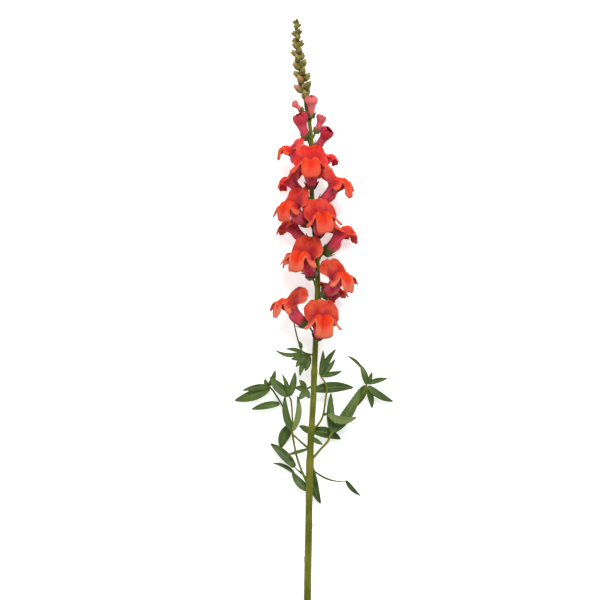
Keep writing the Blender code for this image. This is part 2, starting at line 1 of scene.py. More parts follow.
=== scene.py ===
# %% [markdown]
# A cut snapdragon stem lies on a pale surface. The imported model holds its true sizes: every
# petal shell, stalk and leaf has its place there. This notebook gives each piece its finer
# shape and its finish. We load the model first.

# %% Load the imported model
import math
import random

import bmesh
import bpy
from mathutils import Matrix, Vector


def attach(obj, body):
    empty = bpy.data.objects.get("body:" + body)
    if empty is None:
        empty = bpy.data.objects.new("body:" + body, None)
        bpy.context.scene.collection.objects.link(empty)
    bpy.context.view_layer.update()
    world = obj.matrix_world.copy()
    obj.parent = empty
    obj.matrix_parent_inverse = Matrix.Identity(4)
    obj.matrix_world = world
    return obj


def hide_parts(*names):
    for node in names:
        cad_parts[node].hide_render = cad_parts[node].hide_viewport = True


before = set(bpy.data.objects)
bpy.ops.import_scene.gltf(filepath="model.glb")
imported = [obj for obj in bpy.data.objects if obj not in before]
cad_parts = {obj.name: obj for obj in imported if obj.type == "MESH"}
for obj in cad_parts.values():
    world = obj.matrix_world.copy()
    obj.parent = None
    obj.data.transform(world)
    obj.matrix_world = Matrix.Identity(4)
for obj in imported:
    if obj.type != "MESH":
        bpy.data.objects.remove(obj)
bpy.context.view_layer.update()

print("nodes:", len(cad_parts))

# %% [markdown]
# The model is in metres, but a flower is easier to think about in millimetres. So every
# piece is worked out in millimetres, measured from the cut end of the stem, with x to the
# right and y along the stem. One step at the end of each piece scales it and moves it.

# %% Units and overall sizes
MM = 0.001
STEM_LENGTH = 600.0
PLAN_CENTRE = Vector((5.75, STEM_LENGTH / 2, 0.0))
print("stem length:", STEM_LENGTH, "mm")

# %% [markdown]
# Light and camera come early, so that every render is framed like the photograph. The
# photographer stood over the flower, so the camera looks straight down, far away with a long
# lens, which keeps the spike from looking nearer than the cut end.

# %% Camera over the stem
FRAME_SIDE = 0.6
FRAME_CENTRE = Vector((-0.01375, 0.017, 0.02))
CAMERA_HEIGHT = 3.2

lens = bpy.data.cameras.new("camera")
lens.sensor_width = 36.0
lens.lens = 36.0 * CAMERA_HEIGHT / FRAME_SIDE
camera = bpy.data.objects.new("camera", lens)
camera.location = FRAME_CENTRE + Vector((0.0, 0.0, CAMERA_HEIGHT))
bpy.context.scene.collection.objects.link(camera)
bpy.context.scene.camera = camera
print("lens:", round(lens.lens))

# %% [markdown]
# The surface is a broad pale sheet. It reaches far past the view, so that its edge never
# shows from the side either.

# %% The pale surface
SURFACE_REACH = 6.0
BELOW_THE_STEM = 0.0002

floor_mesh = bpy.data.meshes.new("surface")
work = bmesh.new()
bmesh.ops.create_grid(work, x_segments=1, y_segments=1, size=SURFACE_REACH)
work.to_mesh(floor_mesh)
work.free()
surface = bpy.data.objects.new("surface", floor_mesh)
surface.location.z = -BELOW_THE_STEM
bpy.context.scene.collection.objects.link(surface)
print("surface reaches", 2 * SURFACE_REACH, "m across")

# %% [markdown]
# Studio light is large, so shadows are soft. The biggest lamp hangs above and a little
# beyond the tip of the spike, which lays the faint shadows below the petals, and a
# second one fills from the other side. A bright sky keeps the surface nearly white.

# %% Soft studio light
SKY_STRENGTH = 0.40


def soft_lamp(name, place, aim, side, power):
    lamp = bpy.data.lights.new(name, "AREA")
    lamp.shape = "SQUARE"
    lamp.size = side
    lamp.energy = power
    holder = bpy.data.objects.new(name, lamp)
    holder.location = place
    holder.rotation_euler = (Vector(aim) - Vector(place)).to_track_quat("-Z", "Y").to_euler()
    bpy.context.scene.collection.objects.link(holder)


soft_lamp("key_lamp", (0.30, 1.2, 2.0), (0, 0, 0), 0.9, 60.0)
soft_lamp("fill_lamp", (-1.4, -0.6, 1.6), (0, 0, 0), 1.4, 10.0)
sky = bpy.data.worlds.new("studio")
sky.use_nodes = True
sky.node_tree.nodes["Background"].inputs["Color"].default_value = (1.0, 1.0, 1.0, 1.0)
sky.node_tree.nodes["Background"].inputs["Strength"].default_value = SKY_STRENGTH
bpy.context.scene.world = sky
bpy.context.scene.view_settings.view_transform = "Standard"
print("lamps: 2, with a white sky")

# %% [markdown]
# A material is a small web of nodes. To read like sums, each output is wrapped in a Wire,
# which turns + and * into Math nodes, and a Finish makes any other node in one call. What
# varies over a petal feeds only its colour, roughness and bump.

# %% Writing materials as sums
class Wire:
    """One output of a material's node, on which sums can be written."""

    def __init__(self, finish, socket):
        self.finish = finish
        self.socket = socket

    def math(self, operation, first, second):
        return self.finish.node("ShaderNodeMath", {"operation": operation}, {0: first, 1: second})

    def __add__(self, other):
        return self.math("ADD", self, other)

    def __sub__(self, other):
        return self.math("SUBTRACT", self, other)

    def __rsub__(self, other):
        return self.math("SUBTRACT", other, self)

    def __mul__(self, other):
        return self.math("MULTIPLY", self, other)

    __radd__ = __add__
    __rmul__ = __mul__


class Finish:
    """A material under construction."""

    def __init__(self, name):
        self.material = bpy.data.materials.new(name)
        self.material.use_nodes = True
        self.tree = self.material.node_tree
        self.shader = self.tree.nodes["Principled BSDF"]

    def node(self, kind, settings, inputs, output=0):
        """Any node, from its type, its settings and what its sockets get."""
        made = self.tree.nodes.new(kind)
        for key, value in settings.items():
            setattr(made, key, value)
        for key, value in inputs.items():
            self.feed(made.inputs[key], value)
        return Wire(self, made.outputs[output])

    def feed(self, socket, value):
        if isinstance(value, Wire):
            self.tree.links.new(value.socket, socket)
        else:
            socket.default_value = value

    def set(self, **values):
        """Sets the shader's sockets, whose names are written with underscores."""
        for name, value in values.items():
            self.feed(self.shader.inputs[name.replace("_", " ")], value)

    def mix(self, share, first, second):
        def colour(value):
            return value if isinstance(value, Wire) else (*value, 1.0)

        kind = {"data_type": "RGBA", "clamp_factor": True}
        sockets = {0: share, 6: colour(first), 7: colour(second)}
        return self.node("ShaderNodeMix", kind, sockets, 2)

    def ease(self, value, low, high):
        """0 below low, 1 above high, and a smooth step between."""
        kind = {"interpolation_type": "SMOOTHSTEP"}
        return self.node("ShaderNodeMapRange", kind, {0: value, 1: low, 2: high})

    def attribute(self, name):
        """A number that the mesh holds for each of its points."""
        return self.node("ShaderNodeAttribute", {"attribute_name": name}, {}, 2)

    def along_and_across(self):
        """The piece's own map: along it from its base, and across or around it."""
        place = self.node("ShaderNodeUVMap", {"uv_map": "UVMap"}, {})
        parts = self.tree.nodes.new("ShaderNodeSeparateXYZ")
        self.tree.links.new(place.socket, parts.inputs[0])
        return Wire(self, parts.outputs[0]), Wire(self, parts.outputs[1])

    def join(self, x, y, z):
        return self.node("ShaderNodeCombineXYZ", {}, {0: x, 1: y, 2: z})

    def noise(self, where, scale, detail=3.0, rough=0.5):
        inputs = {"Vector": where, "Scale": scale, "Detail": detail, "Roughness": rough}
        return self.node("ShaderNodeTexNoise", {}, inputs)

    def place(self):
        """The Object coordinates, which are metres."""
        return self.node("ShaderNodeTexCoord", {}, {}, 3)

    def bump(self, height, strength, distance):
        inputs = {"Height": height, "Strength": strength, "Distance": distance}
        self.set(Normal=self.node("ShaderNodeBump", {}, inputs))


pale = Finish("pale_surface")
pale.set(Base_Color=(0.93, 0.93, 0.925, 1.0), Roughness=0.9)
pale.set(Emission_Color=(1.0, 1.0, 1.0, 1.0), Emission_Strength=0.5)
floor_mesh.materials.append(pale.material)
print("surface finish made")

# %% [markdown]
# A snapdragon petal is two materials in one sheet. Inside, the face is orange red, the
# rounded palate is the purest orange, and painted shade darkens the throat above it to a deep
# crimson.
# Outside, the tube is magenta pink with lighter veins that fan towards the lips. The map's
# first value runs from the base to the rim, and its second one goes round the flower,
# from the middle of the lower lip (0 and 1) over the upper lip (0.5).

# %% Petal finishes
# Colours are linear, as the shader takes them, so they look lighter than these numbers.
CRIMSON = (0.30, 0.008, 0.022)
MAGENTA = (0.47, 0.028, 0.055)
ROSE = (0.58, 0.085, 0.115)
ORANGE = (0.62, 0.038, 0.003)
SCARLET = (0.50, 0.012, 0.008)
CORAL = (0.53, 0.072, 0.030)
RUST = (0.42, 0.026, 0.010)
SALMON = (0.60, 0.135, 0.070)
VERMILION = (0.60, 0.040, 0.028)
POPPY = (0.62, 0.060, 0.040)
WINE = (0.25, 0.035, 0.055)
BUD_PINK = (0.42, 0.035, 0.07)
BUD_HEAD = (0.34, 0.006, 0.024)
BUD_SALMON = (0.70, 0.20, 0.16)
PETAL_RELIEF = 0.0008


def petal_common(finish):
    """What every petal shares: its map, its veins, its mottling and how light enters it."""
    along, around = finish.along_and_across()
    where = finish.place()
    tone = finish.attribute("tone")
    veins = finish.noise(finish.join(along * 2.2, around * 46.0, tone * 9.0), 1.0, 2.0)
    cloud = finish.noise(where, 110.0, 3.0)
    from_low = finish.node("ShaderNodeMath", {"operation": "PINGPONG"}, {0: around, 1: 0.5})
    finish.set(
        Subsurface_Weight=0.15,
        Subsurface_Radius=(0.004, 0.0012, 0.0008),
        Subsurface_Scale=0.6,
        Sheen_Weight=0.02,
        Sheen_Roughness=0.4,
        Roughness=0.52,
        Specular_IOR_Level=0.08,
    )
    return along, from_low, tone, veins, cloud


def petal_face():
    """The inner side, whose tone goes from 0 low on the spike to 1 near its top."""
    finish = Finish("petal_face")
    along, from_low, tone, veins, cloud = petal_common(finish)
    patches = finish.ease(cloud + veins * 0.5, 0.55, 0.95)
    warm = finish.mix(patches, RUST, CORAL)
    lips = finish.mix(tone, warm, finish.mix(patches, SCARLET, VERMILION))
    # The upper lip pales at its edge with a painted highlight and darkens into the throat with
    # painted shade.
    high = finish.ease(from_low, 0.20, 0.34)
    painted_edge_highlight = finish.ease(along + cloud * 0.06, 0.90, 1.02)
    lips = finish.mix(painted_edge_highlight * 0.6, lips, finish.mix(tone, SALMON, POPPY))
    painted_throat_shade = (1.0 - finish.ease(along + cloud * 0.12, 0.68, 0.88)) * high
    lips = finish.mix(painted_throat_shade * 0.85, lips, CRIMSON)
    # The palate is the orange swelling, and the flaps below it are paler.
    low = 1.0 - finish.ease(from_low, 0.105, 0.135)
    swelling = finish.ease(along, 0.60, 0.66) * (1.0 - finish.ease(along, 0.88, 1.0)) * low
    lips = finish.mix(swelling * 0.95, lips, ORANGE)
    flaps = finish.ease(along, 0.88, 0.95) * (1.0 - finish.ease(from_low, 0.17, 0.24))
    lips = finish.mix(flaps * 0.7, lips, finish.mix(tone, SALMON, CORAL))
    # Painted shade darkens the groove that parts the palate's two humps, and the crease that runs
    # down the side of each.
    painted_groove_shade = (1.0 - finish.ease(from_low, 0.006, 0.03)) * swelling
    lips = finish.mix(painted_groove_shade * 0.75, lips, SCARLET)
    painted_crease_shade = finish.ease(from_low, 0.108, 0.128) * (1.0 - finish.ease(from_low, 0.14, 0.19))
    painted_crease_shade = painted_crease_shade * finish.ease(along, 0.60, 0.68) * (1.0 - finish.ease(along, 0.80, 0.95))
    lips = finish.mix(painted_crease_shade * 0.7, lips, MAGENTA)
    inside = 1.0 - finish.ease(along, 0.52, 0.63)
    lips = finish.mix(inside, lips, MAGENTA)
    finish.set(Base_Color=finish.mix(finish.ease(veins, 0.52, 0.78) * 0.22, lips, CRIMSON))
    finish.bump(veins * 0.7 + cloud * 0.6, 0.6, PETAL_RELIEF)
    return finish.material


def petal_back():
    """The outer side: a pink tube that warms towards the lips and is dark at its base."""
    finish = Finish("petal_back")
    along, _, tone, veins, cloud = petal_common(finish)
    skin = finish.mix(finish.ease(veins + cloud * 0.5, 0.62, 0.95), MAGENTA, ROSE)
    blush = finish.ease(along + cloud * 0.14, 0.66, 1.0)
    skin = finish.mix(blush * 0.75, skin, finish.mix(tone, CORAL, SCARLET))
    base = 1.0 - finish.ease(along, 0.06, 0.34)
    finish.set(Base_Color=finish.mix(base * 0.5, skin, WINE))
    finish.bump(veins, 0.6, PETAL_RELIEF)
    return finish.material


def bud_skin():
    """Opening buds are pinker and more even than the open flowers."""
    finish = Finish("bud_skin")
    along, _, tone, veins, cloud = petal_common(finish)
    skin = finish.mix(finish.ease(veins + cloud * 0.5, 0.60, 1.0), BUD_PINK, ROSE)
    head = finish.ease(along + cloud * 0.2, 0.56, 0.80)
    skin = finish.mix(head * (0.9 - 0.6 * tone), skin, BUD_HEAD)
    finish.set(Base_Color=finish.mix(tone * 0.5, skin, BUD_SALMON))
    finish.bump(veins, 0.6, PETAL_RELIEF)
    return finish.material


PETAL_FACE = petal_face()
PETAL_BACK = petal_back()
BUD_SKIN = bud_skin()
print("petal finishes: face, back and bud")

# %% [markdown]
# The greens differ more than they seem to. The stalk is a bright yellow green with fine
# lengthwise ridges. A leaf is dark and slightly waxy above, paler and matt beneath, with a
# sunken midrib and veins that leave it at a slant. Sepals are soft and olive, and the
# closed buds of the tip fade to a pale yellow bronze, partly their own colour and partly a painted
# highlight.

# %% Green finishes
STALK_DEEP, STALK_BRIGHT = (0.075, 0.092, 0.004), (0.145, 0.150, 0.011)
STALK_RIDGE, STALK_FURROW = (0.235, 0.235, 0.034), (0.045, 0.062, 0.005)
LEAF_OLD, LEAF_YOUNG = (0.018, 0.042, 0.008), (0.095, 0.150, 0.022)
LEAF_PATCH = (0.085, 0.140, 0.026)
LEAF_VEIN, LEAF_MIDRIB = (0.13, 0.20, 0.045), (0.22, 0.28, 0.08)
UNDERSIDE, UNDERSIDE_VEIN = (0.150, 0.200, 0.060), (0.28, 0.33, 0.13)
SEPAL_DEEP, SEPAL_BRIGHT = (0.040, 0.062, 0.009), (0.120, 0.155, 0.028)
SEPAL_TIP = (0.13, 0.045, 0.022)
TIP_DEEP, TIP_BRIGHT = (0.060, 0.062, 0.010), (0.190, 0.175, 0.032)
TIP_PALE_AND_HIGHLIGHT = (0.36, 0.29, 0.075)
BLUSH_BASE, BLUSH_TIP = (0.22, 0.10, 0.05), (0.50, 0.13, 0.12)
VEINS_TO_A_LEAF = 11.0
VEIN_SLANT = 2.6


def stalk_skin():
    finish = Finish("stalk_skin")
    along, around = finish.along_and_across()
    where = finish.place()
    ridges = finish.noise(finish.join(along * 1.5, around * 34.0, 0.0), 1.0, 3.0, 0.6)
    cloud = finish.noise(where, 45.0, 4.0)
    green = finish.mix(finish.ease(cloud, 0.35, 0.68), STALK_DEEP, STALK_BRIGHT)
    green = finish.mix(finish.ease(ridges, 0.48, 0.75) * 0.6, green, STALK_RIDGE)
    green = finish.mix((1.0 - finish.ease(ridges, 0.25, 0.45)) * 0.4, green, STALK_FURROW)
    finish.set(Base_Color=green, Roughness=0.5, Specular_IOR_Level=0.15)
    finish.bump(ridges, 0.6, 0.0005)
    return finish.material


def leaf_skin():
    finish = Finish("leaf_skin")
    along, across = finish.along_and_across()
    tone = finish.attribute("tone")
    under = finish.attribute("under")
    where = finish.place()
    cloud = finish.noise(where, 90.0, 3.0)
    absolute, sine = {"operation": "ABSOLUTE"}, {"operation": "SINE"}
    off = finish.node("ShaderNodeMath", absolute, {0: across - 0.5, 1: 0.0}) * 2.0
    midrib = 1.0 - finish.ease(off, 0.03, 0.11)
    slant = along * VEINS_TO_A_LEAF - off * VEIN_SLANT
    wave = finish.node("ShaderNodeMath", sine, {0: slant * 6.2832, 1: 0.0})
    veins = finish.ease(wave, 0.86, 1.0)
    dark = finish.mix(tone, LEAF_OLD, LEAF_YOUNG)
    top = finish.mix(finish.ease(cloud, 0.35, 0.7) * 0.6, dark, LEAF_PATCH)
    top = finish.mix(veins * 0.20, top, LEAF_VEIN)
    top = finish.mix(midrib * 0.5, top, LEAF_MIDRIB)
    pale_side = finish.mix(midrib * 0.5 + veins * 0.2, UNDERSIDE, UNDERSIDE_VEIN)
    finish.set(Base_Color=finish.mix(finish.ease(under, 0.4, 0.6), top, pale_side))
    finish.set(Roughness=0.46 + under * 0.2, Specular_IOR_Level=0.25)
    finish.set(Subsurface_Weight=0.1, Subsurface_Radius=(0.001, 0.002, 0.0004))
    finish.set(Subsurface_Scale=0.5)
    finish.bump(cloud * 0.35 - veins * 0.35 - midrib * 0.8, 0.6, 0.0006)
    return finish.material


def sepal_skin():
    finish = Finish("sepal_skin")
    along, _ = finish.along_and_across()
    cloud = finish.noise(finish.place(), 160.0, 3.0)
    green = finish.mix(finish.ease(cloud, 0.3, 0.7), SEPAL_DEEP, SEPAL_BRIGHT)
    green = finish.mix(finish.ease(along, 0.55, 1.0) * 0.45, green, SEPAL_TIP)
    finish.set(Base_Color=green, Roughness=0.55, Specular_IOR_Level=0.2)
    finish.bump(cloud, 0.4, 0.0004)
    return finish.material


def spike_skin():
    """Green buds, and blushing ones where the tone is high."""
    finish = Finish("spike_skin")
    along, _ = finish.along_and_across()
    tone = finish.attribute("tone")
    cloud = finish.noise(finish.place(), 260.0, 3.0)
    green = finish.mix(finish.ease(cloud, 0.3, 0.75), TIP_DEEP, TIP_BRIGHT)
    # Tips of buds and bracts, and the spike's stalk all along, go towards pale yellow bronze,
    # partly their own colour and partly a painted highlight.
    pale_tip_and_highlight = finish.ease(along + cloud * 0.3, 0.75, 1.1) * 0.6
    green = finish.mix(pale_tip_and_highlight, green, TIP_PALE_AND_HIGHLIGHT)
    blush = finish.mix(finish.ease(along, 0.2, 0.8), BLUSH_BASE, BLUSH_TIP)
    finish.set(Base_Color=finish.mix(tone, green, blush))
    finish.set(Roughness=0.52, Specular_IOR_Level=0.2)
    finish.bump(cloud, 0.5, 0.0004)
    return finish.material


STALK_SKIN = stalk_skin()
LEAF_SKIN = leaf_skin()
SEPAL_SKIN = sepal_skin()
SPIKE_SKIN = spike_skin()
print("green finishes: stalk, leaf, sepal and spike")

# %% [markdown]
# Everything on this plant is either a tube or a thin blade with rounded edges, and both are
# a grid rolled up: one side of the grid runs round the piece and the other along it. So a
# single helper starts each skin from create_grid, moves its points by a rule, and merges
# the seam and the ends. A blade is just a tube whose section is a very flat ellipse.

# %% Rolling grids into skins
MERGE = 1e-4
LOOK_AHEAD = 0.02
# No stalk or bud points along this slanting line, so a cross product with it is safe.
NEARLY_UP = Vector((0.3, 0.2, 1.0))


class Skin:
    """A mesh in the making, from one or several rolled grids."""

    def __init__(self, name):
        self.name = name
        self.work = bmesh.new()
        self.uv = self.work.loops.layers.uv.new("UVMap")
        self.tone = self.work.verts.layers.float.new("tone")
        self.under = self.work.verts.layers.float.new("under")

    def roll(self, around, along, rule, finish=0, tone=0.5, closed=True):
        """A grid whose points go where rule(u, v) says. The rule also gives each point's
        two map values, and a number that is 1 where a leaf shows its underside."""
        made = bmesh.ops.create_grid(self.work, x_segments=around, y_segments=along, size=0.5)
        shares = {vert: (vert.co.x + 0.5, vert.co.y + 0.5) for vert in made["verts"]}
        faces = {face for vert in made["verts"] for face in vert.link_faces}
        answers = {vert: rule(*share) for vert, share in shares.items()}
        for face in faces:
            face.material_index = finish
            face.smooth = True
            for loop in face.loops:
                loop[self.uv].uv = answers[loop.vert][1]
        for vert, (point, _, beneath) in answers.items():
            vert.co = point
            vert[self.tone] = tone
            vert[self.under] = beneath
        bmesh.ops.remove_doubles(self.work, verts=made["verts"], dist=MERGE)
        if closed:
            kept = [face for face in faces if face.is_valid]
            bmesh.ops.recalc_face_normals(self.work, faces=kept)

    def done(self, node, slot, finishes):
        """Scales the mesh to metres at its place, and puts it in the scene for its node."""
        for vert in self.work.verts:
            vert.co = (vert.co - PLAN_CENTRE) * MM
            vert.co.z = max(vert.co.z, 0.0)
        mesh = bpy.data.meshes.new(self.name)
        self.work.to_mesh(mesh)
        self.work.free()
        for finish in finishes:
            mesh.materials.append(finish)
        piece = bpy.data.objects.new(self.name, mesh)
        bpy.context.scene.collection.objects.link(piece)
        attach(piece, "root")
        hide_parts(node)
        return piece


def curve_between(t, start, stop, left, right):
    """A cubic from start to stop, which leaves and arrives with these slopes."""
    return (
        (2 * t**3 - 3 * t**2 + 1) * start + (t**3 - 2 * t**2 + t) * left
        + (3 * t**2 - 2 * t**3) * stop + (t**3 - t**2) * right
    )


def eased_points(rows, share):
    """A smooth run through rows of (x, y, z, radius), at this share of its length."""
    spans = len(rows) - 1
    at = min(max(share, 0.0), 1.0) * spans
    i = min(int(at), spans - 1)
    t = at - i
    found = []
    for before, start, stop, after in zip(
        rows[max(i - 1, 0)], rows[i], rows[i + 1], rows[min(i + 2, spans)]
    ):
        left, right = (stop - before) / 2, (after - start) / 2
        found.append(curve_between(t, start, stop, left, right))
    return Vector(found[:3]), found[3]


def tube(skin, rows, sides, rings, finish=0, tone=0.5):
    """A round stalk, whose first and last rings are drawn in to close its ends."""

    def rule(u, v):
        step = round(v * rings)
        share = (step - 1) / (rings - 2)
        centre, radius = eased_points(rows, share)
        ahead = eased_points(rows, min(share + LOOK_AHEAD, 1.0))[0]
        ahead = (ahead - eased_points(rows, max(share - LOOK_AHEAD, 0.0))[0]).normalized()
        side = ahead.cross(NEARLY_UP).normalized()
        if step in (0, rings):
            return centre, (share, u), 0.0
        turn = 2 * math.pi * u
        out = side * math.cos(turn) + side.cross(ahead) * math.sin(turn)
        return centre + out * radius, (share, u), 0.0

    skin.roll(sides, rings, rule, finish, tone)


print("helpers: roll and tube")

# %% [markdown]
# The main stem is not a straight pipe. It leans a little each way, thickens where leaves
# leave it and thins towards the spike. These rows are its axis and radius in millimetres;
# the curve between them is eased, and fine ridges come from the finish. Two small scars
# mark fallen leaves.

# %% The main stem
STEM_ROWS = [
    (0.0, 0.0, 3.25, 3.6),
    (17.0, -0.5, 4.9, 3.6),
    (72.0, 0.4, 9.3, 3.55),
    (124.0, 1.3, 13.3, 3.5),
    (129.0, 1.4, 13.7, 4.0),
    (134.0, 1.5, 14.1, 3.5),
    (155.0, 2.1, 15.8, 3.9),
    (161.0, 2.3, 16.3, 3.4),
    (180.0, 3.0, 17.8, 3.3),
    (186.0, 3.4, 18.3, 3.7),
    (192.0, 3.9, 18.8, 3.1),
    (217.0, 5.4, 20.6, 3.0),
    (240.0, 6.1, 21.9, 3.0),
    (245.0, 6.3, 22.1, 3.4),
    (250.0, 6.5, 22.3, 2.9),
    (307.0, 8.8, 24.0, 2.8),
    (337.0, 9.6, 25.1, 2.7),
    (367.0, 8.2, 26.1, 2.6),
    (397.0, 5.5, 26.8, 2.45),
    (427.0, 3.6, 27.3, 2.3),
    (457.0, 3.6, 27.5, 2.1),
    (475.0, 3.6, 27.5, 2.0),
    (492.0, 1.7, 27.3, 1.9),
    (507.0, -1.4, 26.9, 1.75),
    (519.0, -3.2, 26.5, 1.6),
    (557.0, -9.0, 24.9, 1.1),
    (577.0, -10.6, 23.9, 0.95),
    (600.0, -11.8, 22.9, 0.5),
]
SPIKE_START = 513.0
RIDGE_LENGTH = 60.0
SCARS = (Vector((4.6, 91.0, 11.0)), Vector((-4.2, 57.0, 8.4)))
UP = Vector((0.0, 0.0, 1.0))


def smoothstep(low, high, value):
    """0 below low, 1 above high, and a smooth step between."""
    share = min(max((value - low) / (high - low), 0.0), 1.0)
    return share * share * (3.0 - 2.0 * share)


def along_rows(rows, at):
    """The row at this place, eased between its neighbours on uneven steps."""
    last = len(rows) - 1
    i = 0
    while i < last - 1 and rows[i + 1][0] < at:
        i += 1
    span = rows[i + 1][0] - rows[i][0]
    t = (at - rows[i][0]) / span
    values = []
    for column in range(1, len(rows[0])):
        before, after = rows[i][column], rows[i + 1][column]
        left = right = (after - before) / span
        if i > 0:
            left = (after - rows[i - 1][column]) / (rows[i + 1][0] - rows[i - 1][0])
        if i < last - 1:
            right = (rows[i + 2][column] - before) / (rows[i + 2][0] - rows[i][0])
        values.append(curve_between(t, before, after, left * span, right * span))
    return values


def stem_at(y):
    """The stem's centre, direction and radius at this height."""
    x, z, radius = along_rows(STEM_ROWS, y)
    low, high = max(y - 1.0, 0.0), min(y + 1.0, STEM_LENGTH)
    behind = along_rows(STEM_ROWS, low)
    ahead = along_rows(STEM_ROWS, high)
    direction = Vector((ahead[0] - behind[0], high - low, ahead[1] - behind[1]))
    return Vector((x, y, z)), direction.normalized(), radius


def bump_at(distance, reach):
    """1 at the middle of a bump, falling away smoothly past its reach."""
    return math.exp(-((distance / reach) ** 2))


def stem_skin(skin, low, high, sides, rings, finish, tone):
    """A run of the stem, with soft ridges along it and a dimpled swelling at each scar."""

    def rule(u, v):
        step = round(v * rings)
        y = low + (high - low) * min(max((step - 2) / (rings - 4), 0.0), 1.0)
        centre, ahead, radius = stem_at(y)
        share = {0: 0.0, 1: 0.9, rings - 1: 0.9, rings: 0.0}.get(step, 1.0)
        turn = 2 * math.pi * u
        side = ahead.cross(UP).normalized()
        out = side * math.cos(turn) + side.cross(ahead) * math.sin(turn)
        ridge = 0.07 * math.sin(7 * turn + 0.02 * y) + 0.04 * math.sin(12 * turn)
        point = centre + out * (radius + ridge) * share
        for scar in SCARS:
            away = (point - scar).length
            point += out * (0.9 * bump_at(away, 1.7) - 0.6 * bump_at(away, 0.7))
        return point, (y / RIDGE_LENGTH, u), 0.0

    skin.roll(sides, rings, rule, finish, tone)


stem = Skin("dressed_stem")
stem_skin(stem, 0.0, SPIKE_START, 36, 190, 0, 0.4)
stem = stem.done("main_stem", "stalk_green", [STALK_SKIN])
print("stem faces:", len(stem.data.polygons))

# %% [markdown]
# A leaf of the snapdragon is a narrow lance: it starts as a thin stalk, is widest before its
# middle, and ends in a point. It folds up a little along its midrib, and its edge waves. The
# helper bends the blade along a curve from base to tip, and rolls it about that curve.

# %% One leaf blade
# A blade narrower than this is a leaf's bare stalk, and isn't drawn out to a point.
STALK_WIDTH = 2.5


def blade(skin, spec, tone=0.35, turned=0.0, around=16, along=26, thick=0.6):
    """A leaf. turned is how much of its paler underside is up."""
    base, tip = Vector(spec[:3]), Vector(spec[3:6])
    width, lift, bow, roll, fold = spec[6:11]
    aside = (tip - base).normalized().cross(UP).normalized()
    middle = (base + tip) / 2 + UP * 2 * lift + aside * 2 * bow
    phase = spec[0] + 0.7 * spec[4]
    point_width = 0.08 if width > STALK_WIDTH else 0.4

    def rule(u, v):
        centre = base * (1 - v) ** 2 + middle * 2 * v * (1 - v) + tip * v**2
        ahead = ((middle - base) * (1 - v) + (tip - middle) * v).normalized()
        side = ahead.cross(UP).normalized()
        side = Matrix.Rotation(math.radians(roll) * (0.3 + 0.7 * v), 3, ahead) @ side
        normal = side.cross(ahead)
        across, rise = math.cos(2 * math.pi * u), math.sin(2 * math.pi * u)
        full = math.sin(math.pi * min(v * 0.92 + 0.06, 1.0) ** 0.85) ** 0.8
        half = max(width / 2 * full, 0.5 * (1 - v) + point_width)
        closing = 0.0 if v in (0.0, 1.0) else 1.0
        rib = bump_at(across, 0.14) * min(width / 9, 1.0)
        height = thick / 2 * rise * (1.1 - 0.5 * across**2)
        height -= rib * (0.22 if rise > 0 else 0.30)
        height += 0.05 * half * across**2 * math.sin(9 * v + phase)
        height += fold * half * abs(across) ** 1.3
        point = centre + (side * across * half + normal * height) * closing
        beneath = 1.0 - turned if rise < -0.02 else turned
        return point, (v, (across + 1) / 2), beneath

    skin.roll(around, along, rule, 0, tone)


print("helper: blade")

# %% [markdown]
# Lower down, thin side shoots leave the stem and carry small tufts of leaves. Each shoot is
# a list of points (x, y, z, radius) for its stalk, and a list of leaves. A leaf's numbers
# are its base and its tip (x, y, z each), its width, how far its middle lifts and bows, its
# roll in degrees and its fold. A leaf that leaves the stem by itself has no shoot's stalk.

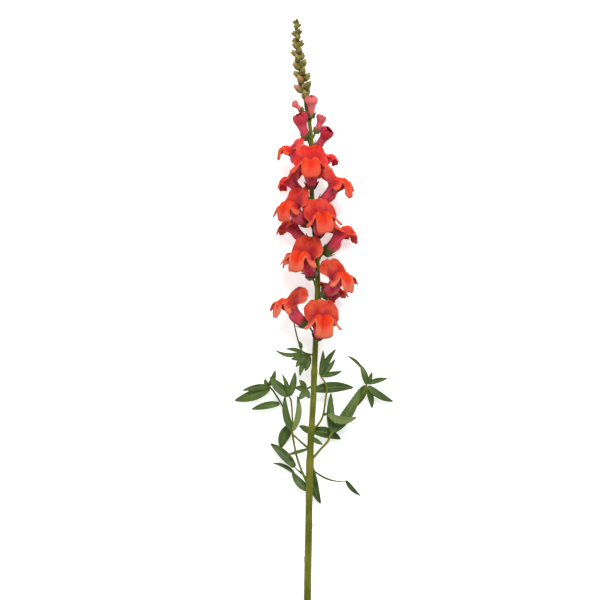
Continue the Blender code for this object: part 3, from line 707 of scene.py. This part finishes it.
# %% Where the shoots and their leaves go
SHOOTS = {
    "shoot_left_low": (
        [(1.4, 129, 13.7, 1.3), (-6, 145, 14.6, 1.2), (-11.5, 161, 13.0, 1.1),
         (-14.3, 175, 11.5, 1.1), (-17, 189, 10.0, 1.0), (-20.2, 198.5, 9.0, 1.0),
         (-25.6, 210.6, 8.0, 0.9), (-34.5, 225.2, 7.5, 0.9), (-40, 231, 7.5, 0.8)],
        [(-38, 229.5, 7.6, -74, 216, 0.25, 11.5, 1.5, -1.5, 10, 0.18),
         (-38.5, 230, 8.0, -66, 226, 8.5, 6.5, 3.0, 1.5, -25, 0.2),
         (-39, 231, 7.6, -33, 247, 12, 5.5, 1.0, 1.0, 15, 0.25),
         (-39.5, 231, 7.4, -43, 238, 5, 4.5, 0.5, -1.0, -20, 0.25),
         (-28, 213, 8.0, -57, 207, 3.5, 7.5, 3.0, 1.0, 10, 0.15),
         (-17.5, 191, 9.8, -27, 168, 2.2, 11.5, 1.0, 2.0, -12, 0.15)],
    ),
    "shoot_left_mid": (
        [(2.3, 167, 16.9, 1.2), (-6, 174, 19.0, 1.1), (-13, 180.5, 20.0, 1.0),
         (-15.7, 184, 20.2, 1.0), (-15.4, 193, 20.6, 0.9), (-16.7, 215, 21.0, 0.9),
         (-19.2, 221, 21.0, 0.8)],
        [(-15.5, 185, 20.0, -23, 221, 15.5, 7.5, 1.0, -2.5, -20, 0.2),
         (-15.2, 186, 20.4, -11, 222, 23.5, 6.5, 1.5, 3.5, 20, 0.2),
         (-19, 221, 20.8, -38, 240, 15.0, 10.5, 2.5, -1.0, 8, 0.18),
         (-18.5, 221, 21.2, -13, 245, 20.0, 7.0, 2.0, 1.0, -10, 0.22),
         (-18.8, 220.5, 21.2, -26, 243, 24.0, 5.0, 1.5, 1.0, 25, 0.22),
         (0, 168, 17.5, -21, 162, 16.8, 3.8, 3.2, 0.0, 0, 0.2)],
    ),
    "shoot_middle": (
        [(3.4, 186, 18.4, 1.3), (10.5, 193, 21.5, 1.2), (15, 202, 23.6, 1.1),
         (17.5, 218, 25.0, 1.0), (18.8, 228, 25.6, 1.0), (17.5, 233.5, 25.8, 0.9),
         (11.8, 242.5, 27.6, 0.8)],
        [(14.2, 202, 24.0, 20, 204, 25.0, 3.0, 0.5, 0.0, 0, 0.1),
         (20, 204, 24.4, 49, 200, 15.5, 8.0, 7.4, 5.0, 12, 0.2),
         (12, 242, 27.4, 28, 268, 25.0, 6.5, 2.0, -1.5, 15, 0.2),
         (12, 242, 27.2, 27, 258, 21.5, 6.0, 1.5, 1.5, -15, 0.2),
         (12, 242, 27.4, 34, 246, 22.0, 5.5, 2.5, 1.0, 10, 0.2),
         (12, 241.8, 27.6, 15, 267, 30.0, 5.5, 2.0, 1.0, -20, 0.2)],
    ),
    "shoot_right": (
        [(2.1, 155, 15.8, 1.4), (12, 167, 17.0, 1.3), (19.4, 175, 17.2, 1.2),
         (25, 185.4, 17.0, 1.2), (37, 197, 15.5, 1.1), (52, 217, 12.5, 1.0), (59, 232, 11.0, 0.9)],
        [(25, 185, 17.6, 52, 229, 16.5, 11.5, 1.8, 3.0, -14, 0.18),
         (24, 184, 17.4, 23, 224, 13.0, 8.5, 1.5, -1.0, 24, 0.18),
         (59, 231, 11.0, 48, 209, 2.5, 10.0, 1.5, 1.5, -12, 0.18),
         (59, 232, 11.2, 52, 253, 9.0, 6.5, 2.0, 1.0, 12, 0.2),
         (53.5, 249, 9.6, 39, 261, 9.0, 3.4, 1.5, 1.5, 0, 0.2),
         (60, 233, 11.0, 80, 238, 5.5, 5.5, 2.0, -1.0, 8, 0.2),
         (60, 231, 10.8, 86, 215, 0.2, 7.5, 3.0, 2.0, -8, 0.2),
         (60, 230, 10.6, 64.5, 208, 0.7, 6.5, 1.0, -1.0, 20, 0.2),
         (60, 233, 11.0, 64, 245, 12.5, 4.5, 0.5, 0.5, 0, 0.2)],
    ),
    "shoot_upper_left": (
        [(7.0, 262, 24.0, 1.2), (0, 263, 23.5, 1.0), (-6, 266, 21.0, 0.9),
         (-9.5, 275, 17.0, 0.8), (-13, 289, 13.5, 0.7), (-15, 301, 11.5, 0.6),
         (-16, 312, 10.0, 0.5)],
        [(-5, 265, 21.5, -33, 267, 16.0, 4.5, 4.0, -4.0, 0, 0.2),
         (-5, 264.5, 21.0, -22, 268, 13.0, 4.0, 2.0, 1.0, 10, 0.2),
         (-7, 268, 20.0, -9, 276, 22.0, 4.0, 0.5, 0.5, 0, 0.2),
         (0, 263, 23.8, -12, 250, 26.5, 6.5, 1.5, 1.0, 10, 0.22),
         (0.5, 262.6, 23.8, -3, 246, 29.0, 6.5, 2.0, -1.0, -12, 0.22),
         (0, 263, 24.0, -17, 258, 22.5, 6.0, 1.5, -1.0, 10, 0.22),
         (0.5, 262, 24.0, -8, 241, 25.5, 6.5, 1.0, 1.5, 20, 0.22),
         (-15, 301, 11.5, -19, 309, 12.0, 3.2, 0.5, 0.5, 0, 0.2)],
    ),
    "tuft_middle": (
        [(6.0, 231, 21.9, 1.4), (0, 229, 24.5, 1.1), (-5, 226, 25.8, 0.9)],
        [(-3, 227, 25.4, -10, 218, 29.0, 6.5, 1.5, -1.0, 10, 0.22),
         (-3, 227, 25.4, -13, 229, 26.5, 6.0, 1.5, 1.0, 0, 0.22),
         (-2, 228, 25.2, 2, 219, 28.6, 6.5, 1.0, 1.0, -10, 0.22),
         (-3, 228, 25.4, -9, 237, 28.0, 6.0, 1.0, 1.0, 15, 0.22)],
    ),
    "leaf_wide_right": ([], [(6.0, 227, 21.0, 46, 229, 14.0, 11.0, 1.0, -2.0, 6, 0.14)]),
    "leaf_behind_right": ([], [(3.4, 186, 16.0, 33, 177, 6.0, 11.0, -0.5, -2.5, 8, 0.15)]),
    "leaf_behind_left": ([], [(3.2, 184, 16.0, -9, 191, 12.0, 6.5, -0.5, 0.5, 0, 0.15)]),
    "leaf_pale_small": ([], [(3.0, 180, 16.2, 15, 172, 12.0, 5.0, 0.0, 0.5, -8, 0.2)]),
    "leaf_lower_right": ([], [(3.0, 152, 15.6, 13.0, 112, 0.9, 10.5, 2.5, 2.5, 12, 0.18)]),
    "leaf_stalked_right": (
        [],
        [(3.0, 149, 12.0, 40, 135, 6.5, 2.0, -1.5, 5.0, 0, 0.1),
         (38, 136, 7.0, 53, 120, 1.0, 5.0, 0.5, 1.0, 30, 0.2)],
    ),
    "leaf_lower_left": (
        [],
        [(0.8, 137, 12.5, -14.5, 150, 10.5, 2.0, -0.5, 0.0, 0, 0.1),
         (-13, 149, 10.8, -38, 173, 4.0, 9.5, 1.5, 1.5, 8, 0.2)],
    ),
    "leaf_twisted": (
        [],
        [(1.2, 126, 12.0, -16, 145, 7.0, 8.5, -1.0, -2.0, 14, 0.2),
         (-13, 142, 7.8, -36, 153, 1.2, 4.5, 0.5, 2.5, 40, 0.2)],
    ),
}
print("shoots and single leaves:", len(SHOOTS))

# %% [markdown]
# Some leaves have turned over and show their pale side, and young leaves are a brighter
# green than old ones. Both are shares between 0 and 1: the first is given for single leaves
# of a shoot, by their place in its list, and the second for whole shoots.

# %% Growing the shoots
PALE_SIDE_UP = {
    ("shoot_left_mid", 1): 0.9, ("shoot_right", 0): 0.45, ("shoot_middle", 1): 0.55,
}
YOUNG = {
    "shoot_left_low": 0.45, "shoot_left_mid": 0.3, "shoot_middle": 0.3, "shoot_right": 0.35,
    "shoot_upper_left": 0.5, "tuft_middle": 0.4, "leaf_pale_small": 0.95,
}
OLD = 0.15
count = 0
for name, (rows, leaves) in SHOOTS.items():
    shoot = Skin("dressed_" + name)
    if rows:
        tube(shoot, rows, 12, 6 * len(rows), finish=1)
    for i, spec in enumerate(leaves):
        tone = YOUNG.get(name, OLD) + 0.12 * math.sin(3.1 * i)
        blade(shoot, spec, tone, PALE_SIDE_UP.get((name, i), 0.0))
        count += 1
    shoot.done(name, "leaf_green", [LEAF_SKIN, STALK_SKIN])
print("leaves:", count)

# %% [markdown]
# The corolla is one tube that opens into two lips. Its sections are given from the base to
# the margin, for the upper side, the corners of the mouth and the lower side. The lower
# side folds up into the palate, the swelling that closes the mouth, before it turns down.
# A second set of sections gives the closed bud, and a flower is a blend of the two.
# Each row holds the share along the petal, then the distance along the axis, the height
# and the half width of the upper side, the distance and half width at the corners, and the
# distance, depth and half width of the lower side. The notches and humps are placed by
# from_low, the degrees away from the middle of the lower lip, so 180 is the upper lip's.

# %% Sections of an open flower and of a closed one
OPEN_ROWS = [
    (0.00, 0.0, 0.0, 0.0, 0.0, 0.0, 0.0, 0.0, 0.0),
    (0.09, 0.9, 2.9, 3.2, 0.9, 3.4, 0.7, 4.2, 3.4),
    (0.30, 8.6, 4.9, 5.2, 8.6, 5.3, 8.6, 6.3, 5.3),
    (0.50, 16.5, 6.4, 6.4, 16.5, 6.6, 16.5, 6.0, 6.8),
    (0.60, 20.5, 9.0, 8.0, 20.5, 8.2, 20.5, 0.5, 8.0),
    (0.68, 22.6, 13.6, 10.6, 23.0, 10.0, 24.6, -5.8, 8.8),
    (0.76, 24.0, 18.6, 13.2, 25.0, 11.6, 30.0, -6.0, 10.2),
    (0.84, 24.4, 22.8, 14.8, 26.4, 12.6, 34.0, -0.5, 11.4),
    (0.92, 23.4, 25.6, 15.6, 27.0, 13.4, 33.6, 7.0, 13.4),
    (1.00, 20.8, 27.4, 15.8, 27.0, 14.2, 29.5, 14.8, 18.0),
]
CLOSED_ROWS = [
    (0.00, 0.0, 0.0, 0.0, 0.0, 0.0, 0.0, 0.0, 0.0),
    (0.09, 0.9, 2.8, 3.0, 0.9, 3.2, 0.7, 3.8, 3.2),
    (0.30, 8.0, 3.8, 4.0, 8.0, 4.2, 8.0, 4.6, 4.2),
    (0.50, 15.0, 4.8, 5.0, 15.0, 5.2, 15.0, 5.2, 5.2),
    (0.60, 18.4, 6.6, 6.8, 18.0, 6.8, 18.2, 6.4, 6.8),
    (0.70, 21.6, 8.6, 8.6, 21.2, 8.2, 21.4, 7.8, 8.2),
    (0.80, 25.2, 8.6, 8.4, 24.6, 7.8, 24.6, 7.0, 7.6),
    (0.90, 28.0, 6.0, 6.2, 27.2, 5.6, 27.2, 4.6, 5.4),
    (1.00, 29.0, 2.0, 2.2, 28.2, 2.0, 28.2, 1.4, 1.8),
]
TUBE_END = 0.6
PETAL_THICK = 0.5


def margin_cut(angle, from_low):
    """How far the margin is cut back here: between the lips' lobes and between the lips."""
    lobe = 0.20 * bump_at(1.0 - math.sin(angle), 0.06)
    lobe += 0.34 * bump_at(from_low - 40.0, 14.0 if from_low < 40.0 else 8.0)
    lobe += 0.5 * bump_at(from_low - 92.0, 9.0)
    return lobe


def relief(from_low, along, openness, up, down):
    """How far the petals swell forwards: two humps and a groove between them on the
    palate, a crease below it, and two soft lobes on the upper lip with a fold between."""
    dome = bump_at(along - 0.78, 0.09) * openness
    forwards = dome * 2.8 * bump_at(from_low - 20.0, 12.0)
    forwards -= dome * 1.4 * bump_at(from_low, 7.0)
    fold = bump_at(along - 0.905, 0.03) * openness * down
    forwards -= fold * 0.9 * smoothstep(70.0, 40.0, from_low)
    from_high = 180.0 - from_low
    lip = up * openness * smoothstep(0.62, 0.85, along)
    forwards += lip * 1.8 * bump_at(from_high - 32.0, 16.0)
    return forwards - lip * 1.3 * bump_at(from_high, 9.0)


def rounded(value, power):
    """A sine or a cosine. A power below 1 makes their circle a little squarer."""
    return math.copysign(abs(value) ** power, value)


def corolla_point(angle, along, openness, seed, size):
    """Where the back of the corolla lies, at this angle round it and share along it."""
    up = smoothstep(0.0, 0.45, math.sin(angle))
    down = smoothstep(0.1, 0.6, -math.sin(angle))
    beside = 1.0 - up - down
    from_low = abs(math.degrees(math.atan2(math.cos(angle), -math.sin(angle))))
    share = along
    if along > TUBE_END:
        share = TUBE_END + (along - TUBE_END) * (1.0 - margin_cut(angle, from_low))
    wide = along_rows(OPEN_ROWS, share)
    shut = along_rows(CLOSED_ROWS, share)
    row = [a * openness + b * (1.0 - openness) for a, b in zip(wide, shut)]
    x = row[0] * up + row[3] * beside + row[5] * down
    width = row[2] * up + row[4] * beside + row[7] * down
    height = row[1] * up + row[4] * 0.85 * beside + row[6] * down
    ruffle = smoothstep(0.72, 1.0, along) * openness
    phase = seed * 1.7
    x += ruffle * (1.1 * math.sin(5 * angle + phase) + 0.5 * math.sin(9 * angle + 2 * phase))
    x += ruffle**3 * 0.7 * math.sin(17 * angle + 3 * phase)
    x += relief(from_low, along, openness, up, down)
    swell = 1.0 + 0.05 * ruffle * math.sin(3 * angle + phase)
    swell += 0.02 * ruffle**2 * math.sin(13 * angle + phase)
    swell += 0.12 * ruffle * bump_at(from_low - 66.0, 14.0)
    opening = openness * smoothstep(TUBE_END, 0.85, along)
    side = rounded(math.cos(angle), 1.0 - (0.2 * up + 0.25 * down) * opening)
    rise = rounded(math.sin(angle), 1.0 - 0.2 * up * opening)
    return Vector((x, width * swell * side, height * swell * rise)) * size


print("sections:", len(OPEN_ROWS), "and", len(CLOSED_ROWS))

# %% [markdown]
# Flowers leave the stem all round it, each on a short stalk that leans upwards, and the
# flower leans out further. A flower's numbers are the height and the side where its stalk
# leaves, the stalk's length and lean, the flower's lean and roll, its size, how open it is,
# and a seed for its ruffles. Sides, leans and rolls are in degrees, and side 0 is the one
# that faces straight up. These rows were first listed, and a search program then
# moved them until no flower touched another, so they aren't round numbers.

# %% Where the flowers go
BLOOMS = {
    "01": (269.0, 10.0, 9.0, 25.5, 62.0, 0.0, 1.12, 1.0, 11),
    "02": (279.0, -62.0, 13.0, 34.0, 54.0, 0.0, 1.06, 1.0, 12),
    "03": (293.4, 120.1, 8.6, 22.9, 40.1, 6.4, 0.81, 0.9, 13),
    "04": (310.5, 44.0, 8.8, 26.5, 57.0, 0.0, 1.06, 1.0, 14),
    "05": (319.1, -131.3, 11.5, 16.6, 38.9, 7.5, 0.77, 0.9, 15),
    "06": (331.1, -28.3, 9.0, 27.4, 59.6, -1.7, 1.12, 1.0, 16),
    "07": (351.9, 108.5, 8.1, 28.0, 51.8, -3.6, 1.06, 1.0, 17),
    "08": (335.6, -87.1, 7.6, 30.8, 56.0, -15.6, 0.83, 0.9, 18),
    "09": (370.1, 13.8, 9.2, 25.5, 60.5, 1.0, 1.07, 1.0, 19),
    "10": (363.4, -115.3, 10.5, 29.7, 50.6, -11.4, 0.90, 0.95, 20),
    "11": (382.6, -44.7, 9.0, 25.9, 57.5, -1.4, 1.05, 1.0, 21),
    "12": (401.4, 63.9, 8.6, 24.8, 56.6, -6.1, 1.03, 1.0, 22),
    "13": (412.5, -121.6, 8.0, 29.5, 53.6, -6.5, 0.84, 0.95, 23),
    "14": (419.3, 0.5, 9.0, 27.3, 53.7, -0.5, 1.16, 1.0, 24),
    "15": (429.7, 123.5, 6.8, 22.7, 42.0, -3.0, 0.80, 0.9, 25),
    "16": (438.3, -72.1, 9.8, 25.8, 50.7, -2.3, 0.82, 0.95, 26),
}
BUDS = {
    "01": (459.7, 48.8, 6.1, 24.4, 47.6, -0.9, 0.86, 0.12, 31),
    "02": (464.1, -54.8, 8.0, 19.7, 27.4, 3.0, 0.96, 0.1, 32),
    "03": (476.0, 76.0, 5.0, 30.0, 30.0, 0.0, 0.66, 0.1, 33),
    "04": (489.0, 31.8, 6.0, 25.3, 20.2, -0.3, 0.78, 0.0, 34),
    "05": (499.6, -71.1, 4.6, 27.4, 40.3, 3.0, 0.46, 0.0, 35),
}


def leaning(ahead, out, degrees):
    """The direction that leans this far from the stem's own."""
    lean = math.radians(degrees)
    return ahead * math.cos(lean) + out * math.sin(lean)


def flower_frame(spec):
    """The stalk's points, and the matrix that puts a flower at the stalk's end."""
    y, side, stalk, stalk_lean, lean, roll = spec[:6]
    centre, ahead, radius = stem_at(y)
    turn = math.radians(side)
    out = Vector((math.sin(turn), 0, math.cos(turn)))
    out = (out - ahead * out.dot(ahead)).normalized()
    first = leaning(ahead, out, stalk_lean)
    axis = leaning(ahead, out, lean)
    clear = radius / math.sin(math.radians(stalk_lean))
    bend = centre + first * (clear + stalk * 0.5)
    end = bend + axis * stalk * 0.5
    up = (ahead - axis * ahead.dot(axis)).normalized()
    up = Matrix.Rotation(math.radians(roll), 3, axis) @ up
    across = up.cross(axis)
    place = Matrix((axis, across, up)).transposed().to_4x4()
    place.translation = end
    return centre, bend, end, axis, place


print("open flowers:", len(BLOOMS), "buds:", len(BUDS))

# %% [markdown]
# A petal is a sheet, so it is the one skin that stays open. The grid gives its back, and a
# Solidify modifier adds the face on the inner side, half a millimetre in, with the face's
# own finish. Flowers low on the spike are more salmon and those near its top more scarlet,
# and the youngest buds are the palest, so each piece gets a tone from its height.

# %% Unfolding the corollas
TONE_RANGE = {"bloom": (290, 430), "bud": (455, 495)}
FLOWERS = {"bloom": BLOOMS, "bud": BUDS}


def corolla(number, kind, spec):
    size, openness, seed = spec[6:]
    place = flower_frame(spec)[4]
    petals = Skin(f"dressed_corolla_{kind}_{number}")

    def rule(u, v):
        angle = math.radians(360 * u - 90)
        point = place @ corolla_point(angle, v, openness, seed, size)
        point.z = max(point.z, PETAL_THICK)
        return point, (v, u), 0.0

    tone = smoothstep(*TONE_RANGE[kind], spec[0])
    petals.roll(72, 44, rule, 0, tone, closed=False)
    slot, finishes = "petal_pink", [BUD_SKIN, BUD_SKIN]
    if kind == "bloom":
        slot, finishes = "petal_orange", [PETAL_BACK, PETAL_FACE]
    piece = petals.done(f"corolla_{kind}_{number}", slot, finishes)
    wall = piece.modifiers.new("thickness", "SOLIDIFY")
    wall.thickness = PETAL_THICK * MM
    wall.offset = -1.0
    wall.material_offset = 1
    wall.material_offset_rim = 1


for kind, flowers in FLOWERS.items():
    for number, spec in flowers.items():
        corolla(number, kind, spec)
print("corollas:", len(BLOOMS) + len(BUDS))

# %% [markdown]
# Below the petals, the calyx is a small green cup with five pointed sepals that hug the tube.
# Each sepal is a blade wrapped round the corolla, so it uses the corolla's own surface,
# lifted by a small gap. The stalk joins the cup to the stem.

# %% Calyx, sepals and flower stalks
SEPAL_GAP = 0.5
SEPAL_REACH = 0.29
CUP_REACH = 0.13
CUP_THICK = 0.8


def calyx(number, kind, spec):
    """The cup that holds a corolla, its sepals, and the stalk down to the stem."""
    size, openness, seed = spec[6:]
    centre, bend, end, axis, place = flower_frame(spec)
    greens = Skin(f"dressed_calyx_{kind}_{number}")

    def lifted(angle, share, height):
        """A point over the corolla's surface. At the base it is lifted backwards."""
        point = corolla_point(angle, share, openness, seed, size)
        outward = Vector((-1.0, 0.0, 0.0))
        if share > 0.001:
            outward = Vector((0.0, point.y, point.z)).normalized()
            outward = (outward + Vector((-0.8 * (1 - share / SEPAL_REACH), 0, 0))).normalized()
        return place @ (point + outward * height)

    def cup(u, v):
        angle = math.radians(360 * u - 90)
        share = CUP_REACH * min(v, 1.0 - v) * 2
        height = SEPAL_GAP + (CUP_THICK if v < 0.5 else 0.0)
        return lifted(angle, share, height), (share, u), 0.0

    greens.roll(30, 12, cup, 0, 0.3)
    for k in range(5):
        middle = math.radians(72 * k - 90)

        def sepal(u, v):
            across, rise = math.cos(2 * math.pi * u), math.sin(2 * math.pi * u)
            half = 0.60 * math.sin(math.pi * (0.35 + 0.65 * v) ** 1.1) ** 0.8 + 0.02
            curl = 0.9 * v**3
            height = SEPAL_GAP + 0.35 + 0.30 * rise * (1.1 - across**2 * 0.5) + curl
            if v in (0.0, 1.0):
                across, height = 0.0, SEPAL_GAP + 0.35 + curl
            share = 0.06 + 0.235 * v
            return lifted(middle + across * half, share, height), (v, (across + 1) / 2), 0.0

        greens.roll(12, 12, sepal, 0, 0.5)
    stop = end - axis * (SEPAL_GAP + 0.25)
    rows = [(*centre, 1.0), (*bend, 0.95), (*stop, 1.3 * size**0.5)]
    tube(greens, rows, 14, 20, finish=1)
    greens.done(f"calyx_{kind}_{number}", "calyx_green", [SEPAL_SKIN, STALK_SKIN])


for kind, flowers in FLOWERS.items():
    for number, spec in flowers.items():
        calyx(number, kind, spec)
print("calyces:", len(BLOOMS) + len(BUDS))

# %% [markdown]
# A bud of the tip is a small egg in a cup of sepals, too young for a calyx of its own mesh.
# Both are rolled grids again, in the same skin as the stem that they grow from.

# %% One closed bud
def egg(skin, base, axis, length, radius, tone):
    """A closed bud: an egg with a blunt tip, and five sepals pressed against it."""
    across = axis.cross(NEARLY_UP).normalized()
    up = across.cross(axis)

    def fullness(share):
        return math.sin(math.pi * share) ** 0.6 * (1.05 - 0.5 * share)

    def rule(u, v):
        angle = 2 * math.pi * u
        around = across * math.cos(angle) + up * math.sin(angle)
        full = fullness(v) if 0 < v < 1 else 0.0
        full *= 1.0 + 0.07 * math.cos(5 * angle) * v
        return base + axis * length * v + around * radius * full, (v, u), 0.0

    skin.roll(15, 12, rule, 0, tone)
    for k in range(5):
        middle = 2 * math.pi * (k + 0.5) / 5

        def sepal(u, v):
            side, rise = math.cos(2 * math.pi * u), math.sin(2 * math.pi * u)
            half = 0.62 * math.sin(math.pi * (0.3 + 0.7 * v)) ** 0.8 + 0.02
            if v in (0.0, 1.0):
                side, rise = 0.0, 0.0
            angle = middle + side * half
            share = 0.04 + 0.74 * v
            around = across * math.cos(angle) + up * math.sin(angle)
            reach = radius * fullness(share) + 0.12 + 0.16 * rise + 0.25 * v**3
            return base + axis * length * share + around * reach, (v, (side + 1) / 2), 0.0

        skin.roll(8, 8, sepal, 0, tone * 0.3)


print("helper: egg")

# %% [markdown]
# The tip of the spike is a cone of closed buds in a spiral. Plants set each bud about 137.5
# degrees round from the last one, which spreads them evenly, and the same rule is used
# here, with a small seeded error. Buds shrink and lean in towards the tip, and each has a
# narrow bract below it. A few of the lowest ones blush already.

# %% The bud spike
SEAT_GAP = 0.3
BUD_COUNT = 30
GOLDEN_TURN = 137.5
BLUSHING = (2, 5)

spike = Skin("dressed_bud_spike")
start = SPIKE_START + SEAT_GAP
stem_skin(spike, start, STEM_LENGTH - 2.0, 16, 40, 0, 0.0)
chance = random.Random(5)
for i in range(BUD_COUNT):
    share = i / (BUD_COUNT - 1)
    y = start + 3.5 + (STEM_LENGTH - start - 9.0) * share**0.92
    centre, ahead, radius = stem_at(y)
    turn = math.radians(GOLDEN_TURN * i + chance.uniform(-12, 12))
    out = Vector((math.sin(turn), 0, math.cos(turn)))
    axis = leaning(ahead, out, 50 - 24 * share).normalized()
    length = 8.6 * (1 - share) ** 0.55 + 4.2
    width = 2.7 * (1 - share) ** 0.55 + 1.2
    base = centre + axis * radius * 0.5
    egg(spike, base, axis, length, width, 0.75 if i in BLUSHING else 0.1)
    tip = base + (ahead * 0.55 + out * 0.85) * (length * 0.8 + 1.5)
    bract_width = 2.6 + 1.8 * (1 - share)
    bract = (*(base - ahead * 0.6), *tip, bract_width, 0.0, 0.4, 0.0, 0.3)
    blade(spike, bract, 0.0, around=10, along=10, thick=0.5)
spike = spike.done("bud_spike", "spike_green", [SPIKE_SKIN])
print("spike faces:", len(spike.data.polygons))
